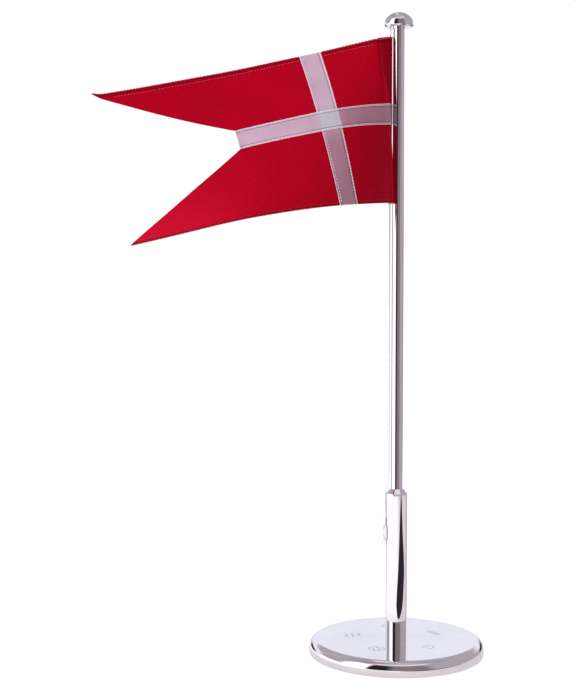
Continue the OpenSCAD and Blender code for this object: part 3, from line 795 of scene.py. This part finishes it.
def surface(w, v):
    """Points of the cloth's middle surface, and the directions that its face looks in."""
    h_w, h_v = 0.05 * MM, 0.0005
    along = smooth_surface(w + h_w, v) - smooth_surface(w - h_w, v)
    down = smooth_surface(w, v + h_v) - smooth_surface(w, v - h_v)
    face = unit(np.cross(along, down))
    point = smooth_surface(w, v) + pucker(w, v)[..., None] * face
    out = np.clip((w - BELLY_FROM) / (SLEEVE_W - BELLY_FROM), 0, 1)
    lower = eased(np.clip((v - BELLY_TOP_V) / BELLY_RAMP_V, 0, 1))
    belly = BELLY * np.sin(math.pi * out) ** 2 * lower
    point = point + belly[..., None] * face
    curl = np.clip((w - TIP_W + CURL_L) / CURL_L, 0, 1) ** 2 * np.clip(1 - v / CURL_V, 0, 1)
    return point + (curl * CURL_H)[..., None] * CURL_WAY, face


def shell(name, w, v, keep, high, low, material, attributes):
    """A closed sheet over a lattice (w, v), from low to high above the middle surface."""
    rows, columns = w.shape
    point, face = surface(w, v)
    high, low = np.broadcast_to(high, w.shape), np.broadcast_to(low, w.shape)
    layers = [point + face * high[..., None], point + face * low[..., None]]
    points = np.concatenate([layer.reshape(-1, 3) for layer in layers])
    back = rows * columns
    padded = np.pad(keep, 1)
    faces = []
    for j, i in np.argwhere(keep):
        a, b = j * columns + i, j * columns + i + 1
        c, d = b + columns, a + columns
        faces.append((a, b, c, d))
        faces.append((d + back, c + back, b + back, a + back))
        sides = ((a, b, padded[j, i + 1]), (c, d, padded[j + 2, i + 1]),
                 (b, c, padded[j + 1, i + 2]), (d, a, padded[j + 1, i]))
        faces += [(p, p + back, q + back, q) for p, q, joined in sides if not joined]
    faces = np.array(faces)
    used = np.unique(faces)
    index = np.full(len(points), -1)
    index[used] = np.arange(len(used))
    kept = {key: np.concatenate([values.reshape(-1, 3)] * 2)[used] for key, values in attributes.items()}
    made = make_object(name, points[used], index[faces], material, kept)
    made.data.set_sharp_from_angle(angle=SHARP_SEWN)
    return made


def cloth_lattice():
    """Rows and columns of the whole cut: past the notch the rows close up into the two tails."""
    stations = [(-ARC_W - BACK_W, 13), (-ARC_W, 16), (0, 29), (SLEEVE_W + CREASE_SOFT, 125),
                (NOTCH_W, 95), (TIP_W, 0)]
    runs = [np.linspace(a, b, steps + 1)[:-1] for (a, steps), (b, _) in zip(stations, stations[1:])]
    columns = np.concatenate([*runs, [TIP_W]])
    notch = np.argmin(abs(columns - NOTCH_W))
    upper, bar, lower = 44, 13, 50
    blunt = 0.4 * MM
    cut = np.clip((columns - NOTCH_W) / (TIP_W + blunt - NOTCH_W), 0, 1)[None, :]
    upper_foot = BAR_V0 * (1 - cut)
    lower_top = BAR_V1 + (1 - BAR_V1) * cut
    upper_share = np.linspace(0, 1, upper + 1)[:-1, None]
    bar_share = np.linspace(0, 1, bar + 1)[:-1, None]
    lower_share = np.linspace(0, 1, lower + 1)[:, None]
    v = np.concatenate([upper_foot * upper_share, upper_foot + (lower_top - upper_foot) * bar_share,
                        lower_top + (1 - lower_top) * lower_share])
    w = np.broadcast_to(columns, v.shape).copy()
    keep = np.ones((v.shape[0] - 1, v.shape[1] - 1), bool)
    keep[upper:upper + bar, notch:] = False
    return w, v, keep


def make_cloth():
    w, v, keep = cloth_lattice()
    cloth_mm = np.stack([w / MM, v * HOIST_H / MM, np.zeros_like(w)], -1)
    return shell("flag_sheet", w, v, keep, CLOTH_T / 2, -CLOTH_T / 2, CLOTH, {"cloth_mm": cloth_mm})


RIBBON_LOW = CLOTH_T / 2 + LAYER_GAP
LIFT = RIBBON_T + LAYER_GAP


def lift(w):
    """How far the level ribbon rises where it goes over the upright one."""
    ramp = 2 * MM
    onto = np.clip((w - CROSS_W + ramp) / ramp, 0, 1)
    off = np.clip((CROSS_END + ramp - w) / ramp, 0, 1)
    return LIFT * eased(onto * off)


def make_ribbon(name, w0, w1, v0, v1, side, level):
    """A ribbon on the face (side 1) or the back (side -1). A level one goes over the upright one."""
    cell = 0.6 * MM
    columns = int((w1 - w0) / cell) + 1
    rows = int((v1 - v0) * HOIST_H / cell) + 1
    w, v = np.meshgrid(np.linspace(w0, w1, columns), np.linspace(v0, v1, rows))
    raised = lift(w) if level else np.zeros_like(w)
    outer, inner = RIBBON_LOW + RIBBON_T + raised, RIBBON_LOW + raised
    high, low = (outer, inner) if side > 0 else (-inner, -outer)
    if level:
        across, along = (v - v0) / (v1 - v0), w / MM
        # painted shade: one layer of the level ribbon is painted darker towards the hoist, and two layers
        # show where it crosses the upright one
        lit_share = 0.5 * np.clip((w - CROSS_W + 4 * MM) / (14 * MM), 0, 1)
        layers_and_painted_shade = np.where((w > CROSS_W) & (w < CROSS_END), 1, lit_share)
    else:
        across, along = (w - w0) / (w1 - w0), v * HOIST_H / MM
        # painted shade: the upright ribbon is painted darker towards the bottom
        layers_and_painted_shade = 0.5 * np.clip((0.62 - v) / 0.2, 0, 1)
    ribbon = np.stack([across, along, layers_and_painted_shade], -1)
    keep = np.ones((rows - 1, columns - 1), bool)
    return shell(name, w, v, keep, high, low, RIBBON, {"ribbon": ribbon})


# ---- hems and stitches ----

OVERCAST_PITCH = 1.9 * MM
STITCH_L = 1.25 * MM
STITCH_PITCH = 1.85 * MM
THREAD_R = 0.15 * MM
THREAD_LIFT = 0.04 * MM
ON_CLOTH = CLOTH_T / 2 + THREAD_LIFT
ON_RIBBON = RIBBON_LOW + RIBBON_T + THREAD_LIFT
TOP_HEM_V = 2.9 * MM / HOIST_H
BOTTOM_HEM_V = 1 - 1.5 * MM / HOIST_H


def edge_roll(name, w0, w1, v, radius, bump, material):
    """The overcast roll along an edge, with a bump at each stitch and thin ends."""
    w = np.arange(w0, w1, 0.2 * MM)
    point, _ = surface(w, np.full_like(w, v))
    size = radius + bump * np.abs(np.sin(math.pi * w / OVERCAST_PITCH))
    ends = np.clip(np.minimum(w - w0, w[-1] - w) / (0.6 * MM), 0.25, 1)
    return tube("roll_" + name, point, size * ends, 8, material)


def stitch_row(name, start, end, side, height, material):
    """Separate stitches along a straight sewn line on the flat cloth, from (w, v) to (w, v)."""
    (w0, v0), (w1, v1) = start, end
    total = math.hypot(w1 - w0, (v1 - v0) * HOIST_H)
    bulge = np.array([0.35, 0.9, 1, 1, 0.9, 0.35])
    sunk = (bulge - 1) * 0.12 * MM
    rings_each = len(bulge)
    shares = np.linspace(0, 1, rings_each)
    sides = 6
    points, faces = [], []
    for place in np.arange(0, total - STITCH_L, STITCH_PITCH):
        jitter = rng.uniform(-0.06, 0.06) * MM
        t = (place + jitter + STITCH_L * shares) / total
        w, v = w0 + (w1 - w0) * t, v0 + (v1 - v0) * t
        point, face = surface(w, v)
        path = point + face * (side * (height(w) + sunk))[:, None]
        faces += ring_faces(rings_each, sides, start=len(points) * sides)
        points.extend(sweep_rings(path, THREAD_R * bulge, sides))
    return make_object("stitch_" + name, np.concatenate(points), faces, material)


def on_cloth(w):
    return np.full_like(w, ON_CLOTH)


def on_upright(w):
    return np.full_like(w, ON_RIBBON)


def on_bar(w):
    return ON_RIBBON + lift(w)


def edge_rolls():
    """The rolled edges above and below, in red where cloth shows and white over the ribbon."""
    white_edge = 0.15 * MM
    near_end, far_start = CROSS_W - white_edge, CROSS_END + white_edge
    rolls = [("top_arc", -ARC_W, 0, 0, 0.22, 0.2, EDGE_THREAD),
             ("top_sleeve", 0, SLEEVE_W, 0, 0.34, 0.5, EDGE_THREAD),
             ("top_near", SLEEVE_W, near_end, 0, 0.22, 0.3, EDGE_THREAD),
             ("top_far", far_start, TIP_W, 0, 0.22, 0.24, EDGE_THREAD),
             ("bottom_near", -ARC_W, near_end, 1, 0.17, 0.12, RED_THREAD),
             ("bottom_far", far_start, TIP_W, 1, 0.17, 0.12, RED_THREAD),
             ("top_ribbon", CROSS_W, CROSS_END, 0, 0.36, 0.1, RIBBON),
             ("bottom_ribbon", CROSS_W, CROSS_END, 1, 0.34, 0.07, RIBBON)]
    return [edge_roll(name, w0, w1, v, radius * MM, bump * MM, material)
            for name, w0, w1, v, radius, bump, material in rolls]


def sewn_rows(side):
    """(name, start, end, height, thread) of each row on one side: hems, upright and level ribbon."""
    rows = []
    for edge, v, tip_gap, thread in (("top", TOP_HEM_V, 12 * MM, PINK_THREAD),
                                     ("bottom", BOTTOM_HEM_V, 10 * MM, RED_THREAD)):
        rows.append((f"hem_{edge}_near", (14 * MM, v), (CROSS_W - MM, v), on_cloth, thread))
        rows.append((f"hem_{edge}_far", (CROSS_END + MM, v), (TIP_W - tip_gap, v), on_cloth, thread))
    for edge, w in (("near", CROSS_W + 0.6 * MM), ("far", CROSS_END - 1.4 * MM)):
        for part, v0, v1 in (("top", 0.005, BAR_V0 - 0.01), ("low", BAR_V1 + 0.01, 0.995)):
            rows.append((f"upright_{edge}_{part}", (w, v0), (w, v1), on_upright, WHITE_THREAD))
    bar_start = 1 * MM if side > 0 else SLEEVE_W + 2.5 * MM
    inset = 0.9 * MM / HOIST_H
    for edge, v in (("top", BAR_V0 + inset), ("low", BAR_V1 - inset)):
        rows.append((f"bar_{edge}", (bar_start, v), (NOTCH_W - MM, v), on_bar, WHITE_THREAD))
    return rows


def sewing():
    """Every rolled edge and row of stitches of the flag."""
    pieces = edge_rolls()
    for side, word in ((1, "face"), (-1, "back")):
        for name, start, end, height, thread in sewn_rows(side):
            pieces.append(stitch_row(f"{name}_{word}", start, end, side, height, thread))
    seam_w = SLEEVE_W - 2.6 * MM
    for part, v0, v1 in (("upper", 0.02, BAR_V0 - 0.01), ("lower", BAR_V1 + 0.01, 0.98)):
        pieces.append(stitch_row("sleeve_" + part, (seam_w, v0), (seam_w, v1), 1, on_cloth, RED_THREAD))
    return pieces


# ---- the object ----

base = make_base()
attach(base, "stand")
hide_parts("base_disc")

felt = make_felt()
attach(felt, "stand")
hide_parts("base_felt")

finial = make_finial()
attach(finial, "stand")
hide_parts("finial_cap")

halyard, knot = make_halyard()
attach(halyard, "stand")
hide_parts("halyard_front", "halyard_back", "halyard_bight", "halyard_lead", "halyard_tail")
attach(knot, "stand")
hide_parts("line_knot")

cloth = make_cloth()
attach(cloth, "flag")
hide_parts("flag_cloth")

# The level ribbon's start, just inside the sewn edge of the cloth that is turned back
BAR_W0 = 0.4 * MM - ARC_W - BACK_W
ribbons = [("ribbon_upright_front", CROSS_W, CROSS_END, 0.0, 1.0, 1, False),
           ("ribbon_upright_back", CROSS_W, CROSS_END, 0.0, 1.0, -1, False),
           ("ribbon_bar_front", BAR_W0, NOTCH_W, BAR_V0, BAR_V1, 1, True),
           ("ribbon_bar_back", SLEEVE_W + 1.2 * MM, NOTCH_W, BAR_V0, BAR_V1, -1, True)]
trims = []
for node, w0, w1, v0, v1, side, level in ribbons:
    ribbon = make_ribbon("satin_" + node, w0, w1, v0, v1, side, level)
    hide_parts(node)
    trims.append(ribbon)
for piece in sewing():
    trims.append(piece)
for piece in trims:
    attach(piece, "flag")


# CAD nodes that keep their own shape

def finish_nodes(names, material):
    for name in names:
        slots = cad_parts[name].data.materials
        slots.clear()
        slots.append(material)


def soften_edges(name, width):
    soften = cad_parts[name].modifiers.new("softened_edges", "BEVEL")
    soften.width = width
    soften.segments = 3
    soften.limit_method = "ANGLE"
    soften.angle_limit = math.radians(35)
    soften.harden_normals = True


finish_nodes(("lower_tube", "collar", "pole", "finial_plate", "cleat"), CHROME)
finish_nodes(("base_screw", "base_washer", "foot_plug", "pole_foot", "pole_head", "cleat_rivets"), ZINC)
finish_nodes(("stop_upper", "stop_lower"), CORD)
for name, width in (("cleat", 0.25), ("cleat_rivets", 0.15), ("collar", 0.12), ("lower_tube", 0.08)):
    soften_edges(name, width * MM)


# ---- stage ----

def only_seen_by(piece, camera=False, glossy=False):
    piece.visible_camera = camera
    piece.visible_glossy = glossy
    piece.visible_diffuse = False
    piece.visible_transmission = False
    piece.visible_shadow = False


def dome(name, radius, material):
    return lathe(name, arc(0, 0, radius, radius, 90, -90, 32), material, 64)


class Glow(Shader):
    """A light-giving material on the stage, whose colour may be mixed from nodes."""

    def __init__(self, name, strength=1.0):
        self.material = bpy.data.materials.new(name)
        self.material.use_nodes = True
        self.tree = self.material.node_tree
        self.tree.nodes.clear()
        self.glow = self.node("Emission", {"Strength": strength})
        out = self.tree.nodes.new("ShaderNodeOutputMaterial")
        self.tree.links.new(self.glow.outputs[0], out.inputs["Surface"])

    def band(self, value, low, high, soft):
        """1 between low and high, and 0 outside, with soft sides."""
        rise = self.span(value, low - soft, low + soft)
        fall = self.span(value, high + soft, high - soft)
        return self.times(rise, fall)

    def bearing(self, x, y):
        """Degrees round the pole from the front: -90 is left, 90 is right."""
        turn = self.math("ARCTAN2", x, self.times(y, -1.0))
        return self.times(turn, 180 / math.pi)

    def round_ramp(self, turn, stops):
        """Colours by bearing, from -180 to 180."""
        share = self.span(turn, -180, 180)
        return self.ramp(share, [((degrees + 180) / 360, colour) for degrees, colour in stops])

    def finish(self, colour):
        self.tree.links.new(colour, self.glow.inputs["Color"])
        return self.material


DAYLIGHT = (0.98, 0.97, 1.0)
LAVENDER = (0.86, 0.86, 0.96)
PANEL_WHITE = (1.4, 1.36, 1.4)
ROOM_DARK = (0.02, 0.018, 0.024)
ROOM_BROWN = (0.24, 0.19, 0.21)
WALL_GREY = (0.44, 0.39, 0.43)
CEILING = (0.4, 0.35, 0.39)


def studio_material():
    """Painted reflections that only the chrome sees: a white panel to the left, a dim room in front, soft
    greys elsewhere and a painted highlight high above.
    """
    studio = Glow("studio")
    place = studio.node("VectorMath", {0: studio.place()}, operation="NORMALIZE").outputs[0]
    x, y, z = studio.node("SeparateXYZ", {0: place}).outputs
    turn = studio.bearing(x, y)
    stops = [(-180, LAVENDER), (-122, LAVENDER), (-112, PANEL_WHITE), (-46, PANEL_WHITE), (-40, ROOM_DARK),
             (-18, ROOM_DARK), (-6, ROOM_BROWN), (36, ROOM_BROWN), (48, WALL_GREY), (126, WALL_GREY),
             (146, LAVENDER), (180, LAVENDER)]
    room = studio.round_ramp(turn, stops)
    beside = studio.times(studio.band(turn, -124, -80, 4), studio.span(z, 0.16, 0.26))
    room = studio.mix(beside, room, (*WALL_GREY, 1))
    rear = studio.span(studio.math("ABSOLUTE", turn), 120, 130)
    above_rear = studio.times(rear, studio.span(z, 0.34, 0.46))
    room = studio.mix(above_rear, room, (*WALL_GREY, 1))
    for low, high in ((-158, -134), (134, 158)):
        below_top = studio.band(z, -0.95, 0.17, 0.04)
        curtain = studio.times(studio.band(turn, low, high, 5), below_top)
        room = studio.mix(curtain, room, (*ROOM_DARK, 1))
    overhead = studio.mix(studio.span(z, 0.78, 0.86), room, (*CEILING, 1))
    front = studio.times(studio.band(turn, -60, 75, 10), studio.band(z, 0.87, 0.95, 0.025))
    overhead = studio.mix(front, overhead, (*LAVENDER, 1))
    zenith = studio.mix(studio.span(z, 0.94, 1.0), overhead, (0.56, 0.51, 0.56, 1))
    # painted highlight: a small bright patch high above, seen only in reflections
    painted_highlight = studio.times(studio.band(x, -0.12, 0.01, 0.02), studio.band(y, 0.4, 0.5, 0.02))
    painted_highlight = studio.times(painted_highlight, studio.span(z, 0.3, 0.4))
    return studio.finish(studio.mix(painted_highlight, zenith, (1.8, 1.7, 1.8, 1)))


def mirrored_floor_material():
    """A painted reflection of the table that only the chrome sees: white, with painted shade darker and
    pinker near the base, greyer to the sides and behind.
    """
    table = Glow("mirrored_floor")
    x, y, _ = table.node("SeparateXYZ", {0: table.place()}).outputs
    behind, left, right = (0.42, 0.38, 0.46), (1.15, 1.1, 1.13), (0.74, 0.69, 0.72)
    stops = [(-180, behind), (-150, behind), (-132, left), (0, left), (30, right), (105, right),
             (140, behind), (180, behind)]
    far = table.round_ramp(table.bearing(x, y), stops)
    reach = table.math("SQRT", table.plus(table.times(x, x), table.times(y, y)))
    # painted shade: the reflected table is darker and pinker near the base
    near = table.span(reach, 110 * MM, 58 * MM)
    return table.finish(table.mix(table.times(near, 0.9), far, (0.74, 0.66, 0.69, 1)))


def flat_disc(name, radius, z, material):
    sides = 96
    angles = np.arange(sides) * 2 * math.pi / sides
    ring = np.stack([radius * np.cos(angles), radius * np.sin(angles), np.full(sides, z)], 1)
    return make_object(name, ring, [list(range(sides))], material)


def painted_dark_reflection():
    """A painted reflection: a dark sheet before the stand, out of view, that only the chrome sees and the
    lower tube mirrors as a long drop; it casts no shadow and gives no light.
    """
    card = Glow("painted_dark_reflection")
    grain = card.noise(9, detail=2)
    # (distance from the pole in mm, left bearing, right bearing)
    outline = [(92, 15, 27), (100, 6, 42), (130, -3, 68), (180, 4, 82), (230, 14, 90), (300, 22, 82),
               (383, 28, 67), (488, 35, 57), (570, 40, 52)]
    wide, height = 9, 0.3 * MM
    points = []
    for reach, left, right in outline:
        for bearing in np.linspace(left, right, wide):
            points.append((*turned(0, -reach * MM, bearing), height))
    faces = []
    for row in range(len(outline) - 1):
        for a in range(wide * row, wide * row + wide - 1):
            faces.append((a, a + 1, a + wide + 1, a + wide))
    shade = card.ramp(grain, [(0.3, (0.016, 0.014, 0.018)), (0.7, (0.035, 0.03, 0.036))])
    return make_object("painted_dark_reflection", points, faces, card.finish(shade))


def floor_material():
    """Pale matt paper, lit a little from within so that it stays as pale as the backdrop."""
    mat = Shader("floor", Emission_Color=(*DAYLIGHT, 1), Emission_Strength=0.6)
    paper = mat.noise(6, detail=2)
    mat.colour(mat.ramp(paper, [(0.3, (0.86, 0.855, 0.865)), (0.7, (0.88, 0.875, 0.885))]))
    mat.rough(mat.span(paper, 0.3, 0.7, 0.8, 0.9))
    return mat.material


def area_light(name, place, aim, size, power):
    data = bpy.data.lights.new(name, "AREA")
    data.shape = "SQUARE"
    data.size = size
    data.energy = power
    light = bpy.data.objects.new(name, data)
    light.location = place
    light.rotation_euler = (Vector(aim) - Vector(place)).to_track_quat("-Z", "Y").to_euler()
    light.visible_glossy = False
    light.visible_camera = False
    bpy.context.collection.objects.link(light)


def make_world():
    world = bpy.data.worlds.new("world")
    world.use_nodes = True
    background = world.node_tree.nodes["Background"]
    background.inputs["Color"].default_value = (*DAYLIGHT, 1)
    background.inputs["Strength"].default_value = 0.36
    bpy.context.scene.world = world


def make_stage():
    """A pale floor and backdrop for the camera, and painted reflections of a room, a table and a dark card
    that only the chrome sees.
    """
    floor = flat_disc("floor", 0.72, 0, floor_material())
    floor.visible_glossy = False
    mirrored = flat_disc("mirrored_floor", 0.58, 0.1 * MM, mirrored_floor_material())
    backdrop = dome("backdrop", 4.0, Glow("backdrop", 1.02).material)
    studio = dome("studio", 3.0, studio_material())
    card = painted_dark_reflection()
    only_seen_by(backdrop, camera=True)
    for piece in (mirrored, studio, card):
        only_seen_by(piece, glossy=True)
    make_world()
    area_light("key", (-1.3, -1.0, 0.9), (-0.05, 0, 0.3), 0.9, 24)
    area_light("top", (0.1, -0.2, 1.5), (0, 0, 0.1), 1.2, 8)
    bpy.context.scene.view_settings.view_transform = "Standard"


make_stage()
